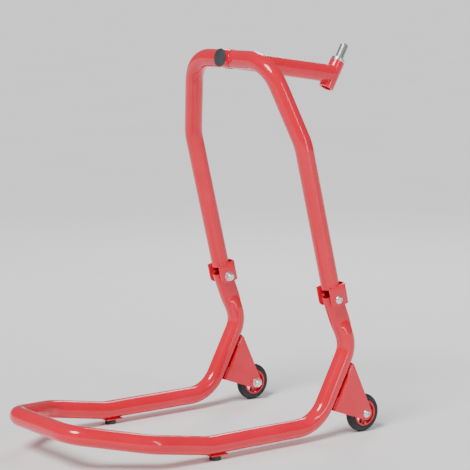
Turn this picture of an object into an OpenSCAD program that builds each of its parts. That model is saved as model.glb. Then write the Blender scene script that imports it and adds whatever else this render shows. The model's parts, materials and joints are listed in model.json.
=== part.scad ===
// Steering-head paddock stand for a motorcycle.
// A bent floor tube on two castor wheels and two rubber feet carries a hinged arch,
// and the arch's rearward arm ends in a sloping sleeve that holds the lifting pin.
// Row frame: +X is the stand's left side, -Y is the handle end, +Y the wheel end, +Z up, floor at z = 0.

/* [Tube] */
// Outside diameter of the frame tube
tube_d = 38; // [36:0.5:40]
// Wall thickness of the frame tube
tube_wall = 2; // [1.5:0.25:2.5]
// Centre line radius of the wide bends
wide_bend_r = 80; // [72:2:86]
// Centre line radius of the tight bends at the knees and the handle corners
tight_bend_r = 55; // [50:1:58]

/* [Base] */
// Distance between the centre lines of the side rails
rail_spacing = 382; // [372:2:400]
// Height of the rail centre line above the floor
rail_z = 31; // [31:0.5:34]
// Rail length from the foot bend to the floor bend
rail_len = 273; // [260:1:290]
// Rise angle of the front part of the floor tube
front_rise = 9.8; // [8:0.2:12]
// Length of each straight run from the foot bend to the inward bend
front_len = 134; // [125:1:150]
// Inward angle of the runs that lead to the handle
front_inward = 33.1; // [30:0.1:36]
// Length of each inward run
inward_len = 161; // [150:1:170]
// Backward lean of the uprights
upright_lean = 28.5; // [26:0.5:31]
// Upright length from the floor bend to the knee
upright_len = 177.5; // [170:0.5:185]
// Forward lean of the pressed necks above the knees
neck_lean = 21.4; // [20:0.2:23]
// Length from the knee to the hinge bolt axis
neck_len = 111; // [106:1:116]
// Thickness of the pressed neck across the stand
neck_thick = 22; // [20:1:24]
// Width of the pressed neck seen from the side
neck_wide = 43; // [41:1:44]

/* [Arch] */
// Forward lean of the arch
arch_lean = 13.3; // [12.5:0.1:14]
// Leg length from the hinge bolt axis to the shoulder bend
leg_len = 328.6; // [310:0.2:345]
// Height of the shoulder above which the legs lean inwards, measured in the plane of the arch
shoulder_rise = 171; // [160:1:180]
// Distance between the two top corners of the arch, along the cross tube
top_width = 254; // [250:1:262]

/* [Lifting arm] */
// Downward slope of the arm towards the sleeve
arm_drop = 8.7; // [7:0.1:10]
// Arm length in front of the cross tube
arm_stub = 26; // [24:0.5:30]
// Distance along the arm from the cross tube to the sleeve axis
arm_reach = 273; // [255:1:290]
// Backward slope of the sleeve
sleeve_tilt = 30; // [26:1:32]
// Outside diameter of the sleeve
sleeve_d = 32; // [30:1:34]
// Bore of the sleeve
sleeve_bore = 22; // [20:1:23]
// Sleeve length
sleeve_len = 63; // [58:1:68]
// Diameter of the upper end of the lifting pin
pin_d = 18; // [14:1:19]
// Length of the upper end of the lifting pin
pin_len = 32; // [26:1:36]

/* [Castors] */
// Tyre diameter
tyre_d = 80; // [78:1:82]
// Tyre width
tyre_w = 20; // [18:1:22]
// Diameter of the hub rim
hub_d = 54; // [52:1:56]
// Number of spokes in a hub
spoke_count = 5; // [4:1:6]
// Outside width of the folded castor brackets
bracket_w = 32; // [31:0.5:34]
// Sheet thickness of the castor brackets and the hinge channels
sheet = 3; // [2.5:0.25:3]
// Distance behind the floor bend of the axle
axle_back = 123.4; // [120:0.2:126]

/* [Feet] */
// Diameter of a rubber foot at the floor
foot_d = 24; // [22:1:26]
// Height of a rubber foot
foot_h = 9.5; // [9:0.1:9.5]
// Distance of the foot behind the foot bend
foot_back = 17; // [14:1:20]

/* [Hidden] */
$fn = 96;
tube_r = tube_d / 2;
lap = 0.5;                 // length by which straight runs enter their bends
bend_thinning = 0.02;      // the tube draws down by this much round a bend
close_gap = 0.02;          // room between two pieces that touch or are welded together
cut_past = 1;              // length by which a hole runs past the face that it opens in
running = 0.05;            // radial clearance of a turning fit
sliding_gap = 0.3;         // side clearance of a turning piece
bolt_d = 10;
hole_d = bolt_d + 2 * running;
head_d = 17.5;             // domed bolt head
head_h = 5.5;
socket_af = 6;             // hexagon socket in the head, across its flats
socket_depth = 3;
nut_af = 17;
nut_h = 8;
washer_d = 21;
washer_h = 2;
thread_show = 3;           // bolt end that stands out of its nut
hex_per_af = 2 / sqrt(3);  // corner to corner size of a hexagon for each unit across its flats

rail_x = rail_spacing / 2;
axle_z = tyre_d / 2;

// ---- heights along the lifting pin ----
sleeve_below = 33;         // sleeve length below the arm's centre line
pin_washer_h = 2;
pin_flange_h = 5;
pin_shank = 42;            // length of the pin inside the sleeve
pin_nose = 3;              // height and width of the pin's bevelled end

// ---- centre line of the floor tube, left half, with y measured from the floor bend ----
function lean_step(length, back) = [0, length * sin(back), length * cos(back)];
function shifted(p) = [p.x, p.y + y_shift, p.z];
function other_side(p) = [-p.x, p.y, p.z];

foot_bend_y = -rail_len;
inward_x = inward_len * sin(front_inward);
inward_y = inward_len * cos(front_inward);
handle_y = foot_bend_y - (front_len + inward_y) * cos(front_rise);
hinge_y = upright_len * sin(upright_lean) - neck_len * sin(neck_lean);
sleeve_y = hinge_y - (leg_len + shoulder_rise) * sin(arch_lean) + arm_reach * cos(arm_drop);
pin_above = sleeve_len - sleeve_below + pin_washer_h + 2 * close_gap + pin_flange_h + pin_len;
tail_y = sleeve_y + pin_above * sin(sleeve_tilt) + pin_d / 2 * cos(sleeve_tilt);
y_shift = -(handle_y - tube_r + tail_y) / 2;

floor_bend = shifted([rail_x, 0, rail_z]);
foot_bend = shifted([rail_x, foot_bend_y, rail_z]);
inward_bend = foot_bend + front_len * [0, -cos(front_rise), sin(front_rise)];
handle_corner = inward_bend + [-inward_x, -inward_y * cos(front_rise), inward_y * sin(front_rise)];
knee = floor_bend + lean_step(upright_len, upright_lean);
hinge = knee + lean_step(neck_len, -neck_lean);

neck_top = 11;             // neck end above the hinge axis
neck_flat = 58;            // pressed length below the hinge axis
neck_round = 84;           // distance below the hinge axis at which the tube is round again
neck_entry = 1;            // length by which the round tube runs into the neck
neck_inset = 0.1;          // the neck starts this much inside the round tube
neck_base = hinge - lean_step(neck_round, -neck_lean);

base_half = [neck_base, knee, floor_bend, foot_bend, inward_bend, handle_corner];
base_path = [for (p = base_half) p, for (i = [len(base_half) - 1:-1:0]) other_side(base_half[i])];
half_r = [0, tight_bend_r, wide_bend_r, wide_bend_r, wide_bend_r, tight_bend_r];
base_r = [for (r = half_r) r, for (i = [len(half_r) - 1:-1:0]) half_r[i]];

// ---- centre line of the arch, left half ----
leg_end = 24;              // lower end of the leg above the hinge axis
arch_step = function(up, inward) [-inward, -up * sin(arch_lean), up * cos(arch_lean)];
leg_foot = hinge + arch_step(leg_end, 0);
shoulder = hinge + arch_step(leg_len, 0);
top_corner = hinge + arch_step(leg_len + shoulder_rise, rail_x - top_width / 2);
arch_top = [0, top_corner.y, top_corner.z];
arch_path = [leg_foot, shoulder, top_corner, arch_top];
arch_r = [0, wide_bend_r, wide_bend_r, 0];

// ---- hinge channel ----
channel_in = tube_d + 2 * close_gap;
channel_out = channel_in + 2 * sheet;
channel_bottom = -14;      // channel ends along the leg, measured from the hinge axis
channel_top = 29;
channel_front = -20;       // open front edge, measured from the hinge axis
channel_fold = 7;          // inside radius of the channel's folds
toe_corner = 12;           // rounding of the channel's lower front corners
heel_corner = 6;           // rounding of its lower back corners
lean_between = neck_lean - arch_lean;
stop_gap = 0.3;            // room between the neck and the channel's back at the stop
stop_z = channel_bottom + heel_corner - sqrt(pow(heel_corner, 2) - pow(heel_corner - sheet, 2));
channel_back = neck_wide / 2 / cos(lean_between) - stop_z * tan(lean_between) + stop_gap;

// ---- castor bracket, folded from sheet with its web against the upright ----
bracket_low = 38;          // lower end along the upright, measured from the floor bend
bracket_high = 148.5;      // upper end
bracket_fold = 2;          // inside radius of the folds
bracket_end_r = 14;        // rounding about the axle
end_inset = 0.1;           // the straight edges run this much inside the rounding
wheel_gap = bracket_w - 2 * sheet;
boss_over = 1;             // length by which the hub's boss stands out of the rim on each side
hub_w = tyre_w + 2 * boss_over;
spacer_h = (wheel_gap - hub_w) / 2 - sliding_gap;
bush_d = 15;

axle = shifted([rail_x, axle_back, axle_z]);

plate_h = rail_z - tube_r - close_gap - foot_h;

red = [0.82, 0.06, 0.12];
zinc = [0.78, 0.79, 0.80];
black = [0.13, 0.14, 0.15];
grey = [0.25, 0.27, 0.28];

// ---- helpers ----
function unit(v) = v / norm(v);
function heading(p, i) = unit(p[i + 1] - p[i]);
function turn(p, i) = acos(heading(p, i - 1) * heading(p, i));
function is_bend(p, i) = i > 0 && i < len(p) - 1;
function setback(p, r, i) = is_bend(p, i) ? r[i] * tan(turn(p, i) / 2) : 0;
function near_x(v) = abs(v.x) > cos(30) * norm(v);
function side_of(v) = unit(cross(v, near_x(v) ? [0, 1, 0] : [1, 0, 0]));

// Places children with local x, y and z along the given directions
module placed(at, x, y, z) {
    multmatrix([
        [x.x, y.x, z.x, at.x],
        [x.y, y.y, z.y, at.y],
        [x.z, y.z, z.z, at.z],
        [0, 0, 0, 1]
    ])
        children();
}

// Children drawn along z are turned to run along v from the point at
module along(at, v) {
    z = unit(v);
    x = side_of(z);
    placed(at, x, cross(z, x), z)
        children();
}

// Solid bar that follows the path p with bend radii r; end_run lengthens both free ends
module bar(p, r, d, end_run) {
    for (i = [0:len(p) - 2]) {
        start = is_bend(p, i) ? setback(p, r, i) - lap : -end_run;
        stop = is_bend(p, i + 1) ? setback(p, r, i + 1) - lap : -end_run;
        along(p[i] + start * heading(p, i), heading(p, i))
            cylinder(d = d, h = norm(p[i + 1] - p[i]) - start - stop);
    }
    for (i = [1:len(p) - 2]) {
        y = heading(p, i - 1);
        inwards = unit(heading(p, i) - y);
        centre = p[i] + inwards * r[i] / cos(turn(p, i) / 2);
        x = unit(p[i] - setback(p, r, i) * y - centre);
        placed(centre, x, y, cross(x, y))
            rotate_extrude(angle = turn(p, i))
                translate([r[i], 0])
                    circle(d = d - 2 * bend_thinning);
    }
}

module bent_tube(p, r) {
    difference() {
        bar(p, r, tube_d, 0);
        bar(p, r, tube_d - 2 * tube_wall, cut_past);
    }
}

// Draws children again on the stand's right side
module right() {
    mirror([1, 0, 0])
        children();
}

module both() {
    children();
    right()
        children();
}

module hexagon(af, h) {
    cylinder(d = af * hex_per_af, h = h, $fn = 6);
}

// Straight hole along z through a piece of height h that stands on z = 0
module hole(d, h) {
    translate([0, 0, -cut_past])
        cylinder(d = d, h = h + 2 * cut_past);
}

module ring(outer, inner, h) {
    difference() {
        cylinder(d = outer, h = h);
        hole(inner, h);
    }
}

// Rectangle centred on x with its base on y = 0 and rounded lower corners
module round_based(width, depth, corner) {
    translate([-width / 2, corner])
        square([width, depth - corner]);
    translate([corner - width / 2, 0])
        square([width - 2 * corner, depth]);
    for (s = [-1, 1])
        translate([s * (width / 2 - corner), corner])
            circle(r = corner);
}

// Section of a folded channel with its web on y = 0, open at y = depth
module folded_section(width, depth, fold_r) {
    difference() {
        round_based(width, depth, fold_r + sheet);
        translate([0, sheet])
            round_based(width - 2 * sheet, depth, fold_r);
    }
}

// ---- floor tube ----
// Pressed neck, drawn upwards from the round end; grow adds to its section, reach to its open end
module neck(grow, reach) {
    start_r = tube_r + grow - neck_inset;
    end_r = neck_wide / 2 + grow;
    side = tube_r + grow + lap;
    half = neck_thick / 2 + grow;
    flat_from = neck_round - neck_flat;
    top = neck_round + neck_top + reach;
    intersection() {
        union() {
            translate([0, 0, -lap])
                cylinder(r1 = start_r, r2 = end_r, h = flat_from + lap);
            translate([0, 0, flat_from])
                cylinder(r = end_r, h = top - flat_from);
        }
        rotate([90, 0, 0])
            linear_extrude(2 * neck_wide, center = true)
                polygon([
                    [-side, -lap], [side, -lap], [side, 2 * neck_entry],
                    [half, flat_from], [half, top], [-half, top], [-half, flat_from], [-side, 2 * neck_entry]
                ]);
    }
}

module at_neck() {
    placed(neck_base, [1, 0, 0], [0, cos(neck_lean), sin(neck_lean)], [0, -sin(neck_lean), cos(neck_lean)])
        children();
}

module base_tube() {
    color(red)
        difference() {
            union() {
                bar(base_path, base_r, tube_d, neck_entry);
                both()
                    at_neck()
                        neck(0, 0);
            }
            bar(base_path, base_r, tube_d - 2 * tube_wall, neck_entry);
            both() {
                at_neck()
                    neck(-tube_wall, cut_past);
                translate(hinge)
                    rotate([0, 90, 0])
                        cylinder(d = hole_d, h = tube_d, center = true);
            }
        }
}

// ---- feet ----
foot_y = foot_bend.y + foot_back;
plate_w = 26;
plate_len = 40;
plate_ahead = 16;          // plate length in front of the foot's centre
foot_waist = 22;
screw_d = 5;
screw_head_d = 9;
screw_head_h = 3;
recess_d = 12;
recess_h = 3;

module foot_plate() {
    color(red)
        translate([rail_x, foot_y, foot_h])
            difference() {
                translate([-plate_w / 2, -plate_ahead, 0])
                    cube([plate_w, plate_len, plate_h]);
                hole(screw_d + 2 * running, plate_h);
            }
}

module rubber_foot() {
    color(black)
        translate([rail_x, foot_y, 0])
            difference() {
                cylinder(d1 = foot_d, d2 = foot_waist, h = foot_h);
                translate([0, 0, -cut_past])
                    cylinder(d = recess_d, h = recess_h + cut_past);
                hole(screw_d + 2 * running, foot_h);
            }
}

module foot_screws() {
    color(zinc)
        both()
            translate([rail_x, foot_y, recess_h - screw_head_h + lap]) {
                cylinder(d = screw_head_d, h = screw_head_h - lap);
                cylinder(d = screw_d, h = foot_h + plate_h - recess_h + screw_head_h - 2 * lap);
            }
}

// ---- castors ----
upright_dir = lean_step(1, upright_lean);
upright_square = [0, cos(upright_lean), -sin(upright_lean)];
axle_across = (axle - floor_bend) * upright_square;
axle_up = (axle - floor_bend) * upright_dir;

// Children drawn with y squarely behind the upright and z along it, from the floor bend
module at_upright() {
    placed(floor_bend, [1, 0, 0], upright_square, upright_dir)
        children();
}

// Point where a tangent from p touches a circle of radius r about c, clockwise (s = -1) or
// anticlockwise (s = 1) from the line between them
function tangent_point(p, c, r, s) =
    let (v = p - c, a = atan2(v.y, v.x) + s * acos(r / norm(v)))
        c + r * [cos(a), sin(a)];

// Side outline, with x measured squarely behind the upright and y along it
module bracket_outline() {
    end = [axle_across, axle_up];
    edge_r = bracket_end_r - end_inset;
    heel = [0, bracket_low];
    web_top = [tube_r + close_gap, bracket_high];
    translate(end)
        circle(r = bracket_end_r);
    polygon([
        heel, tangent_point(heel, end, edge_r, 1), tangent_point(web_top, end, edge_r, -1),
        web_top, [0, bracket_high]
    ]);
}

module castor_bracket() {
    depth = axle_across + bracket_end_r;
    color(red)
        difference() {
            at_upright()
                intersection() {
                    translate([0, tube_r + close_gap, 0])
                        linear_extrude(bracket_high + cut_past)
                            folded_section(bracket_w, depth, bracket_fold);
                    rotate([90, 0, 90])
                        linear_extrude(2 * bracket_w, center = true)
                            bracket_outline();
                }
            translate(axle)
                rotate([0, 90, 0])
                    cylinder(d = hole_d, h = 2 * bracket_w, center = true);
        }
}

rim_h = 4;                 // thickness of the hub's rim
boss_d = 26;

module hub_profile() {
    web = 8;
    translate([hub_d / 2 - rim_h, -tyre_w / 2])
        square([rim_h, tyre_w]);
    translate([bush_d / 2, -web / 2])
        square([(hub_d - rim_h - bush_d) / 2, web]);
    translate([bush_d / 2, -hub_w / 2])
        square([(boss_d - bush_d) / 2, hub_w]);
}

// Openings between the spokes, as curved slots between the boss and the rim
module hub_windows() {
    first_middle = -38;    // direction of the first window from straight down
    spoke_angle = 26;
    edge = 1;              // web left round the boss and inside the rim
    window_angle = 360 / spoke_count - spoke_angle;
    for (i = [0:spoke_count - 1])
        rotate(first_middle - window_angle / 2 + i * 360 / spoke_count)
            rotate_extrude(angle = window_angle)
                translate([boss_d / 2 + edge, -tyre_w / 2])
                    square([(hub_d - boss_d) / 2 - rim_h - 2 * edge, tyre_w]);
}

module castor_hub() {
    color(red)
        translate(axle)
            rotate([0, 90, 0])
                difference() {
                    rotate_extrude()
                        hub_profile();
                    hub_windows();
                }
}

module tyre_profile() {
    flat = 1;              // half width of the flat middle of the tread
    shoulder_r = tyre_w / 2 - flat;
    shoulder_at = tyre_d / 2 - shoulder_r;
    square([shoulder_at, tyre_w / 2]);
    square([tyre_d / 2, flat]);
    translate([shoulder_at, flat])
        circle(r = shoulder_r);
}

module castor_tyre() {
    color(black)
        translate(axle)
            rotate([0, 90, 0])
                rotate_extrude()
                    difference() {
                        union() {
                            tyre_profile();
                            mirror([0, 1])
                                tyre_profile();
                        }
                        translate([-cut_past, -tyre_w])
                            square([hub_d / 2 + close_gap + cut_past, 2 * tyre_w]);
                    }
}

module castor_bush() {
    color(zinc)
        translate(axle)
            rotate([0, 90, 0])
                translate([0, 0, -hub_w / 2])
                    ring(bush_d - 2 * close_gap, hole_d, hub_w);
}

// Spacers between the hub's bush and the bracket's cheeks
module axle_spacers() {
    color(zinc)
        across(axle)
            for (z = [hub_w / 2 + sliding_gap, -wheel_gap / 2])
                translate([0, 0, z])
                    ring(bush_d, hole_d, spacer_h);
}

// ---- bolts; each set is drawn from the middle of the joint it holds, with its head at +z ----
module across(at) {
    both()
        translate(at)
            rotate([0, 90, 0])
                children();
}

module domed_head() {
    dome_r = (head_d * head_d / 4 + head_h * head_h) / 2 / head_h;
    difference() {
        intersection() {
            translate([0, 0, head_h - dome_r])
                sphere(r = dome_r);
            cylinder(r = dome_r, h = head_h + cut_past);
        }
        translate([0, 0, head_h - socket_depth])
            hexagon(socket_af, socket_depth + cut_past);
    }
}

// Bolts through a joint that is width wide from face to face
module through_bolts(at, width) {
    below = width / 2 + washer_h + nut_h + thread_show;
    color(zinc)
        across(at) {
            translate([0, 0, width / 2])
                domed_head();
            translate([0, 0, -below])
                cylinder(d = bolt_d, h = below + width / 2 + lap);
        }
}

module lock_nuts(at, width) {
    color(zinc)
        across(at)
            translate([0, 0, -width / 2 - washer_h - nut_h])
                difference() {
                    hexagon(nut_af, nut_h);
                    hole(hole_d, nut_h);
                }
}

module nut_washers(at, width) {
    color(zinc)
        across(at)
            translate([0, 0, -width / 2 - washer_h])
                ring(washer_d, hole_d, washer_h);
}

// ---- hinge ----
module at_leg() {
    placed(hinge, [1, 0, 0], [0, cos(arch_lean), sin(arch_lean)], [0, -sin(arch_lean), cos(arch_lean)])
        children();
}

// Side view of the channel: square at the top, rounded at its lower corners
module cheek_outline() {
    front = channel_front;
    back = channel_back + sheet;
    floor_z = channel_bottom;
    translate([front, floor_z + toe_corner])
        square([back - front, channel_top - floor_z - toe_corner]);
    translate([front + toe_corner, floor_z])
        square([back - front - toe_corner - heel_corner, toe_corner + lap]);
    translate([back - heel_corner - lap, floor_z + heel_corner])
        square([heel_corner + lap, toe_corner - heel_corner + lap]);
    translate([front + toe_corner, floor_z + toe_corner])
        circle(r = toe_corner);
    translate([back - heel_corner, floor_z + heel_corner])
        circle(r = heel_corner);
}

module hinge_channel() {
    color(red)
        at_leg()
            difference() {
                intersection() {
                    translate([0, channel_back + sheet, channel_bottom])
                        linear_extrude(channel_top - channel_bottom)
                            rotate(180)
                                folded_section(
                                    channel_out, channel_back + sheet - channel_front, channel_fold);
                    rotate([90, 0, 90])
                        linear_extrude(2 * channel_out, center = true)
                            cheek_outline();
                }
                rotate([0, 90, 0])
                    cylinder(d = hole_d, h = 2 * channel_out, center = true);
            }
}

module hinge_bushes() {
    bush_h = (channel_in - neck_thick) / 2 - sliding_gap;
    color(zinc)
        across(hinge)
            for (z = [channel_in / 2 - bush_h, -channel_in / 2])
                translate([0, 0, z])
                    ring(washer_d, hole_d, bush_h);
}

// ---- arch ----
arm_dir = [0, cos(arm_drop), -sin(arm_drop)];

module half_arch() {
    color(red)
        difference() {
            bent_tube(arch_path, arch_r);
            along(arch_top - tube_d * arm_dir, arm_dir)
                cylinder(d = tube_d + 2 * close_gap, h = 2 * tube_d);
        }
}

// ---- lifting arm and sleeve ----
sleeve_at = arch_top + arm_reach * arm_dir;
sleeve_dir = [0, sin(sleeve_tilt), cos(sleeve_tilt)];
sleeve_foot = sleeve_at - sleeve_below * sleeve_dir;
plug_head = 3;

module lift_arm() {
    color(red)
        difference() {
            along(arch_top - arm_stub * arm_dir, arm_dir)
                ring(tube_d, tube_d - 2 * tube_wall, arm_stub + arm_reach);
            along(sleeve_foot - tube_d * sleeve_dir, sleeve_dir)
                cylinder(d = sleeve_d + 2 * close_gap, h = sleeve_len + 2 * tube_d);
        }
}

module arm_plug() {
    plug_depth = 14;
    plug_slack = 0.15;     // room round the plug's spigot
    color(grey)
        along(arch_top - arm_stub * arm_dir, -arm_dir) {
            cylinder(d = tube_d, h = plug_head);
            translate([0, 0, -plug_depth])
                cylinder(d = tube_d - 2 * tube_wall - 2 * plug_slack, h = plug_depth + lap);
        }
}

module pin_sleeve() {
    color(red)
        along(sleeve_foot, sleeve_dir)
            ring(sleeve_d, sleeve_bore, sleeve_len);
}

sleeve_top = sleeve_foot + sleeve_len * sleeve_dir;

module pin_washer() {
    bore_over = 1;         // how much wider the washer's hole is than the sleeve's bore
    color(zinc)
        along(sleeve_top, sleeve_dir)
            translate([0, 0, close_gap])
                ring(sleeve_d, sleeve_bore + bore_over, pin_washer_h);
}

module lifting_pin() {
    flange_under = 2;      // how much narrower the flange is than the sleeve
    color(zinc)
        along(sleeve_top + (pin_washer_h + 2 * close_gap) * sleeve_dir, sleeve_dir) {
            cylinder(d = sleeve_d - flange_under, h = pin_flange_h);
            translate([0, 0, -pin_shank])
                cylinder(d = sleeve_bore - 2 * running, h = pin_shank + lap);
            cylinder(d = pin_d, h = pin_flange_h + pin_len);
            translate([0, 0, pin_flange_h + pin_len])
                cylinder(d1 = pin_d, d2 = pin_d - 2 * pin_nose, h = pin_nose);
        }
}

base_tube();
foot_plate();  // foot_plate_left
right() foot_plate();  // foot_plate_right
rubber_foot();  // rubber_foot_left
right() rubber_foot();  // rubber_foot_right
foot_screws();
castor_bracket();  // castor_bracket_left
right() castor_bracket();  // castor_bracket_right
castor_tyre();  // castor_tyre_left
right() castor_tyre();  // castor_tyre_right
castor_hub();  // castor_hub_left
right() castor_hub();  // castor_hub_right
castor_bush();  // castor_bush_left
right() castor_bush();  // castor_bush_right
through_bolts(axle, bracket_w);  // axle_bolts
lock_nuts(axle, bracket_w);  // axle_nuts
nut_washers(axle, bracket_w);  // axle_washers
axle_spacers();
hinge_channel();  // hinge_channel_left
right() hinge_channel();  // hinge_channel_right
through_bolts(hinge, channel_out);  // hinge_bolts
lock_nuts(hinge, channel_out);  // hinge_nuts
nut_washers(hinge, channel_out);  // hinge_washers
hinge_bushes();
half_arch();  // arch_left
right() half_arch();  // arch_right
lift_arm();
arm_plug();
pin_sleeve();
lifting_pin();
pin_washer();
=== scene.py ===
"""Looks of the steering-head paddock stand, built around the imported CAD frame."""

import json
import math
import random

import bmesh
import bpy
from mathutils import Matrix, Vector


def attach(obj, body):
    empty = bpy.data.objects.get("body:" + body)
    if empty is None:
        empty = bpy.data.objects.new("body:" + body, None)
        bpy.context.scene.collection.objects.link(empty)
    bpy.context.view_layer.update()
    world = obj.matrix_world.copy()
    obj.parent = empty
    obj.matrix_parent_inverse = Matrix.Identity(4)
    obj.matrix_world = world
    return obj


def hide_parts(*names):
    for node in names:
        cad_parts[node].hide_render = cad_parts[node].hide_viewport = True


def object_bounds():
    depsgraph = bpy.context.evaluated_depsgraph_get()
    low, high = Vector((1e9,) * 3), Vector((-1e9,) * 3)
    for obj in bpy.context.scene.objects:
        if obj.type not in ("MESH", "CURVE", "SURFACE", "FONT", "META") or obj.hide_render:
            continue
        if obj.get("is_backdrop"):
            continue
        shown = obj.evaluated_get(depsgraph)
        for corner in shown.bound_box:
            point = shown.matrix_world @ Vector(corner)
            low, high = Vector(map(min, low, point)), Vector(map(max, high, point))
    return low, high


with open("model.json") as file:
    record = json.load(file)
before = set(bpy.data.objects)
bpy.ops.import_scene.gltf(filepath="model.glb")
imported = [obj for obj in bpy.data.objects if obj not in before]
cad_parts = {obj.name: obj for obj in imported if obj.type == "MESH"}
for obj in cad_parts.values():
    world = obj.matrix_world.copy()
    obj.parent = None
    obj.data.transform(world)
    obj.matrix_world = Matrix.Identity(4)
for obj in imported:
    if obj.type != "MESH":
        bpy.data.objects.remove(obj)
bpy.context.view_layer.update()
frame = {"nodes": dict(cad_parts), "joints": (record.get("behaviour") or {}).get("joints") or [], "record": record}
random.seed(7)

MM = 0.001
TUBE_R = 19 * MM
WALL = 2 * MM


def joint(name):
    return next(j for j in frame["joints"] if j["name"] == name)


# ---------------------------------------------------------------- materials
def nodes_of(name):
    mat = bpy.data.materials.new(name)
    mat.use_nodes = True
    tree = mat.node_tree
    shader = tree.nodes["Principled BSDF"]
    coords = tree.nodes.new("ShaderNodeTexCoord")
    return mat, tree, shader, coords.outputs["Object"]


def noise(tree, coords, scale, detail=4.0, rough=0.55):
    node = tree.nodes.new("ShaderNodeTexNoise")
    node.inputs["Scale"].default_value = scale
    node.inputs["Detail"].default_value = detail
    node.inputs["Roughness"].default_value = rough
    tree.links.new(coords, node.inputs["Vector"])
    return node.outputs["Fac"]


def ramp(tree, fac, stops):
    node = tree.nodes.new("ShaderNodeValToRGB")
    tree.links.new(fac, node.inputs["Fac"])
    els = node.color_ramp.elements
    while len(els) < len(stops):
        els.new(0.5)
    for el, (pos, value) in zip(els, stops):
        el.position = pos
        el.color = (*value, 1) if isinstance(value, tuple) else (value, value, value, 1)
    return node.outputs["Color"]


def bump(tree, shader, height, strength, distance):
    node = tree.nodes.new("ShaderNodeBump")
    node.inputs["Strength"].default_value = strength
    node.inputs["Distance"].default_value = distance
    tree.links.new(height, node.inputs["Height"])
    tree.links.new(node.outputs["Normal"], shader.inputs["Normal"])


def powder_coat(name, dark, light, rough, coat):
    """Glossy powder coat: faint orange peel, slow colour drift and a few dull handling marks."""
    mat, tree, shader, coords = nodes_of(name)
    drift = noise(tree, coords, 9.0)
    tree.links.new(ramp(tree, drift, [(0.3, dark), (0.7, light)]), shader.inputs["Base Color"])
    marks = ramp(tree, noise(tree, coords, 60.0, 8.0, 0.7), [(0.45, rough[0]), (0.75, rough[1])])
    tree.links.new(marks, shader.inputs["Roughness"])
    peel = noise(tree, coords, 900.0, 2.0)
    bump(tree, shader, peel, 0.05, 0.0004)
    shader.inputs["Coat Weight"].default_value = coat
    shader.inputs["Coat Roughness"].default_value = 0.12
    shader.inputs["Specular IOR Level"].default_value = 0.5
    return mat


def rubber(name, dark, light, grain=700.0):
    """Matt rubber with a fine moulded grain and a little dust."""
    mat, tree, shader, coords = nodes_of(name)
    dust = noise(tree, coords, 35.0, 8.0, 0.65)
    tree.links.new(ramp(tree, dust, [(0.4, dark), (0.72, light)]), shader.inputs["Base Color"])
    worn = ramp(tree, noise(tree, coords, 120.0), [(0.3, 0.55), (0.7, 0.75)])
    tree.links.new(worn, shader.inputs["Roughness"])
    bump(tree, shader, noise(tree, coords, grain, 3.0), 0.18, 0.0005)
    return mat


def plated(name, dark, light, rough=(0.22, 0.38)):
    """Bright zinc plate: cloudy tone and fine turning marks."""
    mat, tree, shader, coords = nodes_of(name)
    cloud = noise(tree, coords, 140.0, 6.0)
    tree.links.new(ramp(tree, cloud, [(0.35, dark), (0.65, light)]), shader.inputs["Base Color"])
    marks = ramp(tree, noise(tree, coords, 420.0), [(0.3, rough[0]), (0.7, rough[1])])
    tree.links.new(marks, shader.inputs["Roughness"])
    bump(tree, shader, noise(tree, coords, 1600.0, 2.0), 0.08, 0.0002)
    shader.inputs["Metallic"].default_value = 1.0
    return mat


red_paint = powder_coat("red_powder_coat_look", (0.72, 0.001, 0.022), (0.83, 0.002, 0.036), (0.13, 0.22), 0.2)
red_weld = powder_coat("painted_weld_look", (0.62, 0.001, 0.018), (0.74, 0.002, 0.030), (0.2, 0.3), 0.2)
red_plastic = powder_coat("red_hub_look", (0.60, 0.001, 0.016), (0.72, 0.002, 0.026), (0.25, 0.36), 0.1)
tyre_black = rubber("tyre_rubber_look", (0.012, 0.014, 0.017), (0.028, 0.032, 0.036))
foot_black = rubber("foot_rubber_look", (0.028, 0.032, 0.034), (0.055, 0.060, 0.063))
plug_grey = rubber("plug_plastic_look", (0.030, 0.036, 0.041), (0.052, 0.060, 0.066), 1400.0)
zinc = plated("zinc_look", (0.78, 0.79, 0.81), (0.92, 0.93, 0.94))
pin_steel = plated("pin_steel_look", (0.48, 0.49, 0.51), (0.64, 0.65, 0.67), (0.28, 0.45))
LOOK = {
    "red_powder_coat": red_paint, "red_hub": red_plastic, "tyre_rubber": tyre_black,
    "foot_rubber": foot_black, "plug_plastic": plug_grey, "zinc": zinc, "pin_steel": pin_steel,
}
SLOT = {s["node"]: s["material_slot"] for s in frame["record"]["subparts"]}
BODY = {n: b for b, ns in frame["record"]["behaviour"]["bodies"].items() for n in ns}


# ---------------------------------------------------------------- mesh helpers
def piece(name, bm, material, body, replaced=()):
    mesh = bpy.data.meshes.new(name)
    bmesh.ops.recalc_face_normals(bm, faces=bm.faces)
    bm.to_mesh(mesh)
    bm.free()
    mesh.materials.append(material)
    for p in mesh.polygons:
        p.use_smooth = True
    obj = bpy.data.objects.new(name, mesh)
    bpy.context.scene.collection.objects.link(obj)
    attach(obj, body)
    if replaced:
        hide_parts(*replaced)
    return obj


def sharpen(obj, degrees=35):
    """Marks edges sharper than the given angle, so that smooth shading keeps them."""
    mesh = obj.data
    bm = bmesh.new()
    bm.from_mesh(mesh)
    for e in bm.edges:
        e.smooth = not (len(e.link_faces) == 2 and e.calc_face_angle(0) > math.radians(degrees))
    bm.to_mesh(mesh)
    bm.free()


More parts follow.
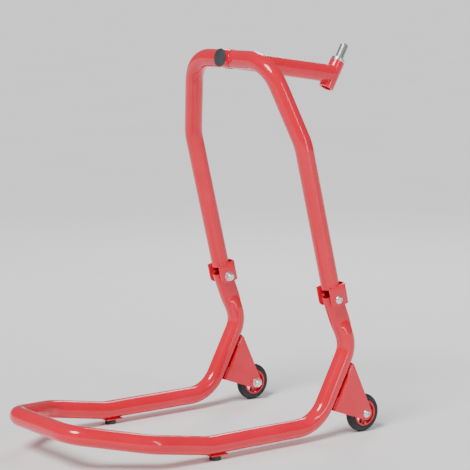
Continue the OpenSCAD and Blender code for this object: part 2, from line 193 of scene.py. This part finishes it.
def softened(node, width, segments):
    """A copy of a CAD node with its edges eased, which stands for that node."""
    bm = bmesh.new()
    bm.from_mesh(frame["nodes"][node].data)
    bmesh.ops.remove_doubles(bm, verts=bm.verts, dist=2e-6)
    bmesh.ops.dissolve_limit(bm, angle_limit=math.radians(0.5), verts=bm.verts, edges=bm.edges)
    hard = [e for e in bm.edges if len(e.link_faces) == 2 and e.calc_face_angle(0) > math.radians(35)]
    if hard:
        bmesh.ops.bevel(bm, geom=hard, offset=width, segments=segments, profile=0.5, affect="EDGES",
                        clamp_overlap=True, harden_normals=False)
    slot = SLOT[node]
    obj = piece(node + "_look", bm, LOOK[slot], BODY[node], (node,))
    sharpen(obj, 40)
    return obj


def filleted(points, radii, step=4 * MM):
    """Points along a path whose corners are rounded to the given radii."""
    out = [points[0].copy()]
    for i in range(1, len(points) - 1):
        a, p, b = points[i - 1], points[i], points[i + 1]
        d1, d2 = (p - a).normalized(), (b - p).normalized()
        angle = d1.angle(d2)
        back = radii[i] * math.tan(angle / 2)
        centre = p + (d2 - d1).normalized() * radii[i] / math.cos(angle / 2)
        start = p - d1 * back - centre
        axis = d1.cross(d2).normalized()
        count = max(6, int(radii[i] * angle / step))
        for k in range(count + 1):
            out.append(centre + Matrix.Rotation(angle * k / count, 3, axis) @ start)
    out.append(points[-1].copy())
    return out


def densified(pts, step):
    out = [pts[0]]
    for a, b in zip(pts, pts[1:]):
        count = max(1, int((b - a).length / step))
        out += [a.lerp(b, k / count) for k in range(1, count + 1)]
    return out


def frames_along(pts, first_x):
    """Position, side axis and up axis at each point, carried without twist."""
    out = []
    x = first_x.normalized()
    for i, p in enumerate(pts):
        t = (pts[min(i + 1, len(pts) - 1)] - pts[max(i - 1, 0)]).normalized()
        x = (x - t * x.dot(t)).normalized()
        out.append((p, x, t.cross(x)))
    return out


def skin(bm, rings, closed_ends=(False, False), loop=False):
    """Joins rings of points into a surface."""
    rows = [[bm.verts.new(p) for p in ring] for ring in rings]
    n = len(rows[0])
    pairs = list(zip(rows, rows[1:])) + ([(rows[-1], rows[0])] if loop else [])
    for a, b in pairs:
        for k in range(n):
            bm.faces.new((a[k], a[(k + 1) % n], b[(k + 1) % n], b[k]))
    if closed_ends[0]:
        bm.faces.new(rows[0])
    if closed_ends[1]:
        bm.faces.new(rows[-1])
    return rows


def circle_rings(fr, r, count=56):
    rings = []
    for i, (p, x, y) in enumerate(fr):
        rad = r(i) if callable(r) else r
        rings.append([p + rad * (x * math.cos(a) + y * math.sin(a))
                      for a in (2 * math.pi * k / count for k in range(count))])
    return rings


def turned(bm, origin, axis, profile, count=72):
    """Turns a closed profile of (radius, height) pairs about the axis."""
    z = axis.normalized()
    x = z.orthogonal().normalized()
    y = z.cross(x)
    rings = []
    for k in range(count):
        a = 2 * math.pi * k / count
        d = x * math.cos(a) + y * math.sin(a)
        rings.append([origin + d * r + z * h for r, h in profile])
    rows = [[bm.verts.new(p) for p in ring] for ring in rings]
    m = len(profile)
    for i in range(count):
        a, b = rows[i], rows[(i + 1) % count]
        for j in range(m):
            j2 = (j + 1) % m
            if profile[j][0] < 1e-7 and profile[j2][0] < 1e-7:
                continue
            bm.faces.new((a[j], a[j2], b[j2], b[j]))
    bmesh.ops.remove_doubles(bm, verts=bm.verts, dist=1e-7)


def weld_bead(name, pts, body, r=1.9 * MM, loop=False, pitch=2.6 * MM):
    """A rippled bead laid along the points, with the stacked-coin look of a hand weld."""
    pts = densified(pts + ([pts[0]] if loop else []), 0.65 * MM)
    if loop:
        pts = pts[:-1]
    fr = frames_along(pts, (pts[1] - pts[0]).orthogonal())
    travel, along = [], 0.0
    for i, p in enumerate(pts):
        along += (p - pts[i - 1]).length if i else 0
        travel.append(along)
    bm = bmesh.new()
    wobble = random.uniform(0, 6)

    def radius(i):
        saw = (travel[i] / pitch + 0.15 * math.sin(travel[i] / (9 * MM) + wobble)) % 1
        swell = 1 + 0.07 * math.sin(travel[i] / (7 * MM) + 2 * wobble)
        ends = 1 if loop else min(1, 0.45 + min(i, len(pts) - 1 - i) / 8)
        return r * swell * ends * (0.9 + 0.13 * math.sqrt(1 - (2 * saw - 1) ** 2))

    skin(bm, circle_rings(fr, radius, 14), (not loop, not loop), loop)
    return piece(name, bm, red_weld, body)


# ---------------------------------------------------------------- where things are
left = 191 * MM                                     # rail centre line
hinge = Vector(joint("arch_tilt")["pos_m"])
hinge.x = left
axle = Vector(joint("castor_left_spin")["pos_m"])
NECK_LEAN, ARCH_LEAN, UPRIGHT_LEAN, FRONT_RISE, FRONT_INWARD = (
    math.radians(v) for v in (21.4, 13.3, 28.5, 9.8, 33.1))
ARM_DROP, SLEEVE_TILT = math.radians(8.7), math.radians(30)
NECK_LEN, UPRIGHT_LEN, RAIL_LEN = 111 * MM, 177.5 * MM, 273 * MM
FRONT_LEN, INWARD_LEN = 134 * MM, 161 * MM
LEG_LEN, SHOULDER_RISE, HALF_TOP = 328.6 * MM, 171 * MM, 127 * MM
ARM_STUB, ARM_REACH = 26 * MM, 273 * MM
SLEEVE_R, SLEEVE_BORE_R, SLEEVE_LEN, SLEEVE_BELOW = 16 * MM, 11 * MM, 63 * MM, 33 * MM
WIDE_BEND, TIGHT_BEND = 80 * MM, 55 * MM            # centre-line radii of the bends
NECK_TIP, NECK_BLEND_FROM = 11 * MM, 84 * MM        # above and below the hinge axis


def lean(length, back):
    return Vector((0, length * math.sin(back), length * math.cos(back)))


def flip(v):
    return Vector((-v.x, v.y, v.z))


knee = hinge - lean(NECK_LEN, -NECK_LEAN)
floor_bend = knee - lean(UPRIGHT_LEN, UPRIGHT_LEAN)
foot_bend = floor_bend - Vector((0, RAIL_LEN, 0))
inward_bend = foot_bend + FRONT_LEN * Vector((0, -math.cos(FRONT_RISE), math.sin(FRONT_RISE)))
run = INWARD_LEN * math.cos(FRONT_INWARD)
handle_corner = inward_bend + Vector((
    -INWARD_LEN * math.sin(FRONT_INWARD), -run * math.cos(FRONT_RISE), run * math.sin(FRONT_RISE)))
handle_mid = Vector((0, handle_corner.y, handle_corner.z))
leg_up = lean(1, -ARCH_LEAN)
shoulder = hinge + leg_up * LEG_LEN
top_corner = hinge + leg_up * (LEG_LEN + SHOULDER_RISE)
top_corner.x = HALF_TOP
arch_top = Vector((0, top_corner.y, top_corner.z))
arm_dir = Vector((0, math.cos(ARM_DROP), -math.sin(ARM_DROP)))
arm_up = Vector((0, math.sin(ARM_DROP), math.cos(ARM_DROP)))
sleeve_dir = lean(1, SLEEVE_TILT)
sleeve_at = arch_top + arm_dir * ARM_REACH
X = Vector((1, 0, 0))


# ---------------------------------------------------------------- floor tube
def pressed(w, half_thick, half_wide, r, a):
    """Radius of the neck's section at angle a: a round tube for w = 0, pressed flat for w = 1."""
    c = abs(math.cos(a))
    flat = ((c / half_thick) ** 14 + (1 / half_wide) ** 14) ** (-1 / 14)
    return (1 - w) * r + w * flat


def neck_weight(up):
    """up is the height along the neck above the round end."""
    t = min(1, max(0, (up - 1 * MM) / (34 * MM)))
    return t * t * (3 - 2 * t)


def floor_tube():
    neck_dir = lean(1, -NECK_LEAN)
    neck_end = hinge + neck_dir * NECK_TIP
    pts = filleted([neck_end, knee, floor_bend, foot_bend, inward_bend, handle_corner, handle_mid],
                   [0, TIGHT_BEND, WIDE_BEND, WIDE_BEND, WIDE_BEND, TIGHT_BEND, 0])
    pts = densified(pts[:2], 2 * MM) + densified(pts[1:], 6 * MM)[1:]
    fr = frames_along(pts, X)
    count = 64
    bm = bmesh.new()
    base = hinge - neck_dir * NECK_BLEND_FROM

    def rings(inset):
        out = []
        for p, x, y in fr:
            up = (p - base).dot(neck_dir) if p.z > knee.z + 8 * MM else -1
            w = neck_weight(up)
            out.append([p + (x * math.cos(a) + y * math.sin(a))
                        * pressed(w, 11 * MM - inset, 21.4 * MM - inset, TUBE_R - inset, a)
                        for a in (2 * math.pi * k / count for k in range(count))])
        return out

    outer = skin(bm, rings(0))
    inner = skin(bm, rings(WALL)[:24])
    for k in range(count):
        bm.faces.new((outer[0][k], outer[0][(k + 1) % count], inner[0][(k + 1) % count], inner[0][k]))
    bmesh.ops.mirror(bm, geom=bm.verts[:] + bm.edges[:] + bm.faces[:], axis="X", merge_dist=1e-5)
    return piece("floor_tube_look", bm, red_paint, "base", ("base_tube",))


sharpen(floor_tube(), 50)


# ---------------------------------------------------------------- arch
def half_arch(side):
    pts = filleted([hinge + leg_up * 24 * MM, shoulder, top_corner, arch_top],
                   [0, WIDE_BEND, WIDE_BEND, 0])
    pts = densified(pts, 6 * MM)
    fr = frames_along(pts, X)
    count = 64
    bm = bmesh.new()
    grid = circle_rings(fr, TUBE_R, count)
    # the last ring is coped to the arm, a tube of the same size that crosses it squarely
    last = []
    for p in grid[-1]:
        d = p - arch_top
        last.append(Vector((math.sqrt(max(0, TUBE_R ** 2 - d.dot(arm_up) ** 2)), p.y, p.z)))
    cut = max(i for i, (p, x, y) in enumerate(fr) if p.x > TUBE_R + 1 * MM)
    grid = grid[:cut + 1] + [last]
    outer = skin(bm, grid)
    inner = skin(bm, circle_rings(fr[:14], TUBE_R - WALL, count))
    for k in range(count):
        bm.faces.new((outer[0][k], outer[0][(k + 1) % count], inner[0][(k + 1) % count], inner[0][k]))
    if side < 0:
        for v in bm.verts:
            v.co.x *= -1
    name = "arch_left" if side > 0 else "arch_right"
    sharpen(piece(name + "_look", bm, red_paint, "arch", (name,)), 50)


half_arch(1)
half_arch(-1)


# ---------------------------------------------------------------- arm, plug and sleeve
def across_sleeve(v):
    """The part of v that is square to the sleeve's axis."""
    return v - sleeve_dir * v.dot(sleeve_dir)


def sleeve_limit(p, ray, radius):
    """Slides p along ray to the sleeve's near wall if p lies inside or beyond the sleeve."""
    a, b = across_sleeve(p - sleeve_at), across_sleeve(ray)
    qa, qb, qc = b.dot(b), 2 * a.dot(b), a.dot(a) - radius ** 2
    disc = qb * qb - 4 * qa * qc
    if disc <= 0:
        t = max(0.0, -qb / (2 * qa))
        return p + ray * t if t > 0 else None
    t = (-qb + math.sqrt(disc)) / (2 * qa)
    return p + ray * t if t > 0 else None


def lift_arm():
    """The arm's tube, with the end that meets the sleeve trimmed to the sleeve's wall."""
    start, stop, steps, count = -ARM_STUB, ARM_REACH, 60, 64
    near_sleeve = 200 * MM
    bm = bmesh.new()
    rows = []
    for i in range(steps + 1):
        along = start + (stop - start) * i / steps
        ring = []
        for a in (2 * math.pi * k / count for k in range(count)):
            p = arch_top + arm_dir * along + TUBE_R * (X * math.cos(a) + arm_up * math.sin(a))
            trimmed = sleeve_limit(p, -arm_dir, SLEEVE_R) if along > near_sleeve else None
            ring.append(p if trimmed is None else trimmed)
        rows.append(ring)
    skin(bm, rows)
    piece("lift_arm_look", bm, red_paint, "arch", ("lift_arm",))


lift_arm()


def turned_piece(name, origin, axis, profile, material, node, count=72, angle=40):
    bm = bmesh.new()
    turned(bm, origin, axis, profile, count)
    obj = piece(name, bm, material, BODY[node], (node,))
    sharpen(obj, angle)
    return obj


def rounded_profile(points, r=0.6 * MM, steps=3):
    """Rounds every corner of a closed (radius, height) profile by r where there is room."""
    out = []
    n = len(points)
    for i in range(n):
        p = Vector((*points[i], 0))
        a, b = Vector((*points[i - 1], 0)), Vector((*points[(i + 1) % n], 0))
        da, db = a - p, b - p
        cut = min(r, da.length * 0.45, db.length * 0.45)
        if points[i][0] < 1e-6 or cut < 1e-6:
            out.append(points[i])
            continue
        s, e = p + da.normalized() * cut, p + db.normalized() * cut
        for k in range(steps + 1):
            t = k / steps
            q = s * (1 - t) ** 2 + p * 2 * t * (1 - t) + e * t * t
            out.append((q.x, q.y))
    return out


sleeve_foot = sleeve_at - sleeve_dir * SLEEVE_BELOW
turned_piece("pin_sleeve_look", sleeve_foot, sleeve_dir,
             rounded_profile([(SLEEVE_BORE_R, 0), (SLEEVE_R, 0), (SLEEVE_R, SLEEVE_LEN),
                              (SLEEVE_BORE_R, SLEEVE_LEN)], 0.9 * MM),
             red_paint, "pin_sleeve")
sleeve_top = sleeve_foot + sleeve_dir * SLEEVE_LEN

front = arch_top - arm_dir * ARM_STUB
turned_piece("arm_plug_look", front, -arm_dir,
             [(0, -12 * MM), (16.6 * MM, -12 * MM), (16.9 * MM, 0), (18.6 * MM, 0), (18.95 * MM, 0.5 * MM),
              (18.95 * MM, 1.5 * MM), (18.3 * MM, 2.35 * MM), (16.8 * MM, 2.8 * MM),
              (11 * MM, 3 * MM), (0, 3 * MM)],
             plug_grey, "arm_plug", 96)


# ---------------------------------------------------------------- bolts and nuts
def hex_radius(af, a):
    step = (a + math.pi / 6) % (math.pi / 3) - math.pi / 6
    return af / 2 / math.cos(step)


def placed_rings(bm, at, out, table, count=72):
    """Skins rings given as functions of the angle: each row is (radius(a), height(a)) along out."""
    y = Vector((0, 1, 0))
    z = out.cross(y)
    angles = [2 * math.pi * k / count for k in range(count)]
    rings = [[at + out * h(a) + (y * math.cos(a) + z * math.sin(a)) * r(a) for a in angles]
             for r, h in table]
    return skin(bm, rings, (True, True))


def const(v):
    return lambda a: v


def bolt(bm, at, out, width):
    """Domed socket head against the sheet, shank, and a threaded end beyond the nut."""
    head_r, head_h, af, deep = 8.75 * MM, 5.5 * MM, 6 * MM, 3 * MM
    dome = (head_r ** 2 + head_h ** 2) / 2 / head_h
    face = width / 2
    table = [(const(head_r - 0.7 * MM), const(face)), (const(head_r - 0.05 * MM), const(face + 0.1 * MM)),
             (const(head_r), const(face + 0.4 * MM))]
    for k in range(1, 12):
        h = 0.4 * MM + (head_h - 0.9 * MM) * k / 11
        r = math.sqrt(max(0, dome ** 2 - (h + dome - head_h) ** 2))
        table.append((const(min(r, head_r - 0.03 * MM * k)), const(face + h)))
    top = face + head_h - 0.35 * MM
    table += [(const(4.4 * MM), const(top)), (lambda a: hex_radius(af, a) + 0.25 * MM, const(top)),
              (lambda a: hex_radius(af, a), const(top - 0.3 * MM)),
              (lambda a: hex_radius(af, a), const(top - deep)),
              (const(1.2 * MM), const(top - deep - 0.8 * MM))]
    placed_rings(bm, at, out, table)
    end, pitch, major, minor = -(face + 13 * MM), 1.5 * MM, 5 * MM, 4.3 * MM
    shank = [(major, face), (major, -face - 2 * MM)]
    h = -face - 9.2 * MM
    while h - pitch > end + 0.9 * MM:
        shank += [(major, h), (minor, h - pitch / 2)]
        h -= pitch
    shank += [(major, end + 0.9 * MM), (major - 0.9 * MM, end)]
    placed_rings(bm, at, out, [(const(r), const(z)) for r, z in shank], 48)


def nut(bm, at, out, width):
    """Hexagon nut with bevelled corners and a collar of its locking ring."""
    af, low, high = 17 * MM, -width / 2 - 10 * MM, -width / 2 - 2 * MM
    face = 8.1 * MM

    def edge(base, sign):
        return lambda a: base + sign * (hex_radius(af, a) - face) * 0.55

    table = [(const(5.1 * MM), const(high)), (const(face), const(high)),
             (lambda a: hex_radius(af, a), edge(high, -1)),
             (lambda a: hex_radius(af, a), edge(low + 1.4 * MM, 1)),
             (const(face), const(low + 1.4 * MM)), (const(7 * MM), const(low + 1.2 * MM)),
             (const(6.6 * MM), const(low + 0.2 * MM)), (const(6.2 * MM), const(low)),
             (const(5.1 * MM), const(low))]
    placed_rings(bm, at, out, table)


def fastener_set(node, maker, at, width):
    bm = bmesh.new()
    maker(bm, at, X, width)
    maker(bm, flip(at), -X, width)
    obj = piece(node + "_look", bm, zinc, BODY[node], (node,))
    sharpen(obj, 28)


for kind, at, width in (("axle", axle, 32 * MM), ("hinge", hinge, 43.08 * MM)):
    fastener_set(kind + "_bolts", bolt, at, width)
    fastener_set(kind + "_nuts", nut, at, width)


# ---------------------------------------------------------------- tyres and pin
def tyre_profile():
    """Crowned solid tyre with a step to the hub, a sidewall groove and a mould line round the tread."""
    half, r_out, r_in, sh = 10 * MM, 40 * MM, 27.02 * MM, 9 * MM
    flat = half - sh
    side = [(r_in, half - 0.5 * MM), (r_in + 0.6 * MM, half), (r_in + 1.6 * MM, half),
            (r_in + 2.0 * MM, half - 0.5 * MM), (r_in + 2.7 * MM, half - 0.5 * MM),
            (r_in + 3.1 * MM, half - 0.02 * MM)]
    for k in range(13):
        a = math.pi / 2 * k / 12
        side.append((r_out - 0.25 * MM - sh + sh * math.sin(a), flat + sh * math.cos(a)))
    side += [(r_out - 0.22 * MM, 0.35 * MM), (r_out, 0.2 * MM)]
    return side + [(r, -x) for r, x in reversed(side)]


for side, at in (("left", axle), ("right", flip(axle))):
    turned_piece("castor_tyre_%s_look" % side, at, X, tyre_profile(), tyre_black,
                 "castor_tyre_" + side, 120, 38)

pin_base = sleeve_top + sleeve_dir * 2.04 * MM
turned_piece("lifting_pin_look", pin_base, sleeve_dir,
             [(0, -42 * MM), (9.4 * MM, -42 * MM), (10.95 * MM, -40.4 * MM), (10.95 * MM, 0), (14.3 * MM, 0),
              (14.9 * MM, 0.3 * MM), (15 * MM, 0.7 * MM), (15 * MM, 4.3 * MM), (14.9 * MM, 4.7 * MM),
              (14.3 * MM, 5 * MM), (10 * MM, 5 * MM), (9.3 * MM, 5.2 * MM), (9 * MM, 5.8 * MM),
              (9 * MM, 36.8 * MM),
              (8.8 * MM, 37.3 * MM), (6.4 * MM, 39.7 * MM), (5.8 * MM, 40 * MM), (0, 40 * MM)],
             pin_steel, "lifting_pin", 96, 30)


# ---------------------------------------------------------------- welds
def arm_point(x, a, u):
    return arch_top + X * x + arm_dir * a + arm_up * u


def arc(n, start, stop):
    return [start + (stop - start) * k / n for k in range(n + 1)]


# where each half of the cross tube is coped to the arm
for side in (1, -1):
    for name, first in (("rear", -math.pi / 2), ("front", math.pi / 2)):
        pts = [arm_point(side * (abs(TUBE_R * math.cos(a)) + 0.4 * MM), (TUBE_R + 0.2 * MM) * math.cos(a),
                         (TUBE_R + 0.2 * MM) * math.sin(a)) for a in arc(60, first, first + math.pi)]
        weld_bead("arm_weld_%s_%s" % (name, "left" if side > 0 else "right"), pts, "arch", 1.5 * MM)

# where the arm meets the sleeve
pts = []
for a in arc(96, 0, 2 * math.pi)[:-1]:
    x = max(-15.6 * MM, min(15.6 * MM, TUBE_R * math.cos(a)))
    p = arm_point(x, ARM_REACH, TUBE_R * math.sin(a))
    hit = sleeve_limit(p, -arm_dir, 16.3 * MM)
    pts.append(hit if hit is not None else p)
weld_bead("sleeve_weld", pts, "arch", 1.7 * MM, True)

# round the legs at the top of the hinge channels
leg_square = Vector((0, math.cos(ARCH_LEAN), math.sin(ARCH_LEAN)))
for side in (1, -1):
    for name, mid in (("outer", 0), ("inner", math.pi)):
        centre = Vector((side * left, hinge.y, hinge.z)) + leg_up * 29.2 * MM
        pts = [centre + (X * side * math.cos(a) + leg_square * math.sin(a)) * (TUBE_R + 0.9 * MM)
               for a in arc(24, mid - 0.75, mid + 0.75)]
        weld_bead("leg_weld_%s_%s" % (name, "left" if side > 0 else "right"), pts, "arch", 1.6 * MM)

# stitches between the uprights and the webs of the castor brackets
up_dir = lean(1, UPRIGHT_LEAN)
up_square = Vector((0, math.cos(UPRIGHT_LEAN), -math.sin(UPRIGHT_LEAN)))
for side in (1, -1):
    base = floor_bend if side > 0 else flip(floor_bend)
    for part, low, high in (("low", 44, 72), ("high", 122, 147)):
        for edge in (1, -1):
            pts = [base + X * edge * 11.6 * MM + up_square * 17.6 * MM + up_dir * h * MM
                   for h in arc(20, low, high)]
            weld_bead("bracket_weld_%s_%s_%s" % (part, "out" if edge * side > 0 else "in",
                                                 "left" if side > 0 else "right"), pts, "base", 2.3 * MM)

# along the foot plates, under the rails
for side in (1, -1):
    foot = (foot_bend if side > 0 else flip(foot_bend)) + Vector((0, 17 * MM, 0))
    for edge in (1, -1):
        pts = [Vector((foot.x + edge * 6.4 * MM, foot.y + y * MM, 12.5 * MM)) for y in arc(16, -12, 20)]
        weld_bead("foot_weld_%s_%s" % ("out" if edge * side > 0 else "in", "left" if side > 0 else "right"),
                  pts, "base", 1.5 * MM)


# ---------------------------------------------------------------- everything else, edges eased
for node in ("foot_plate_left", "foot_plate_right"):
    softened(node, 0.5 * MM, 2)
for node in ("castor_bracket_left", "castor_bracket_right", "hinge_channel_left", "hinge_channel_right"):
    softened(node, 0.6 * MM, 3)
for node in ("castor_hub_left", "castor_hub_right"):
    softened(node, 0.5 * MM, 2)
for node in ("axle_washers", "hinge_washers", "axle_spacers", "hinge_bushes", "pin_washer", "foot_screws",
             "castor_bush_left", "castor_bush_right"):
    softened(node, 0.3 * MM, 2)
for node in ("rubber_foot_left", "rubber_foot_right"):
    softened(node, 0.8 * MM, 3)


# ---------------------------------------------------------------- stage
def stage():
    bm = bmesh.new()
    bmesh.ops.create_grid(bm, x_segments=1, y_segments=1, size=150)
    mesh = bpy.data.meshes.new("floor")
    bm.to_mesh(mesh)
    bm.free()
    mat, tree, shader, coords = nodes_of("floor_look")
    tone = ramp(tree, noise(tree, coords, 1.2), [(0.3, (0.92, 0.92, 0.92)), (0.7, (0.95, 0.95, 0.95))])
    tree.links.new(tone, shader.inputs["Base Color"])
    shader.inputs["Roughness"].default_value = 0.8
    shader.inputs["Specular IOR Level"].default_value = 0.0
    mesh.materials.append(mat)
    floor = bpy.data.objects.new("floor", mesh)
    bpy.context.scene.collection.objects.link(floor)
    floor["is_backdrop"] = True

    world = bpy.data.worlds.new("studio")
    bpy.context.scene.world = world
    world.use_nodes = True
    tree = world.node_tree
    tree.nodes["Background"].inputs["Color"].default_value = (1.0, 1.0, 1.0, 1)
    tree.nodes["Background"].inputs["Strength"].default_value = 0.26

    def area(name, at, aim, size, power):
        light = bpy.data.lights.new(name, "AREA")
        light.shape = "RECTANGLE"
        light.size, light.size_y = size
        light.energy = power
        obj = bpy.data.objects.new(name, light)
        bpy.context.scene.collection.objects.link(obj)
        obj.location = at
        obj.rotation_mode = "QUATERNION"
        obj.rotation_quaternion = (Vector(aim) - Vector(at)).to_track_quat("-Z", "Y")

    sun = bpy.data.lights.new("key", "SUN")
    sun.angle = math.radians(22)
    sun.energy = 3.5
    key = bpy.data.objects.new("key", sun)
    bpy.context.scene.collection.objects.link(key)
    key.rotation_mode = "QUATERNION"
    key.rotation_quaternion = Vector((-0.9, 2.2, -2.9)).to_track_quat("-Z", "Y")
    area("fill", (2.7, 0.5, 1.2), (0, 0.1, 0.4), (0.3, 2.2), 18)
    area("rim", (-1.6, 1.6, 2.2), (0, 0.1, 0.4), (0.5, 1.8), 20)


stage()


# ---------------------------------------------------------------- camera
def camera():
    data = bpy.data.cameras.new("camera")
    data.sensor_width = 36
    data.lens = 1896.6 / 470 * 36
    data.shift_x = -6.8 / 470
    data.clip_start, data.clip_end = 0.1, 100
    cam = bpy.data.objects.new("camera", data)
    bpy.context.scene.collection.objects.link(cam)
    az, el, roll = (math.radians(v) for v in (53.4, 8.1, -0.4))
    back = Vector((math.sin(az) * math.cos(el), -math.cos(az) * math.cos(el), math.sin(el)))
    right = Vector((math.cos(az), math.sin(az), 0))
    up = back.cross(right)
    r2 = right * math.cos(roll) + up * math.sin(roll)
    u2 = up * math.cos(roll) - right * math.sin(roll)
    cam.rotation_mode = "QUATERNION"
    cam.rotation_quaternion = Matrix((r2, u2, back)).transposed().to_quaternion()
    cam.location = Vector((0, hinge.y, hinge.z)) + Vector((3.1549, -2.4319, 0.6775))
    bpy.context.scene.camera = cam


camera()

low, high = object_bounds()
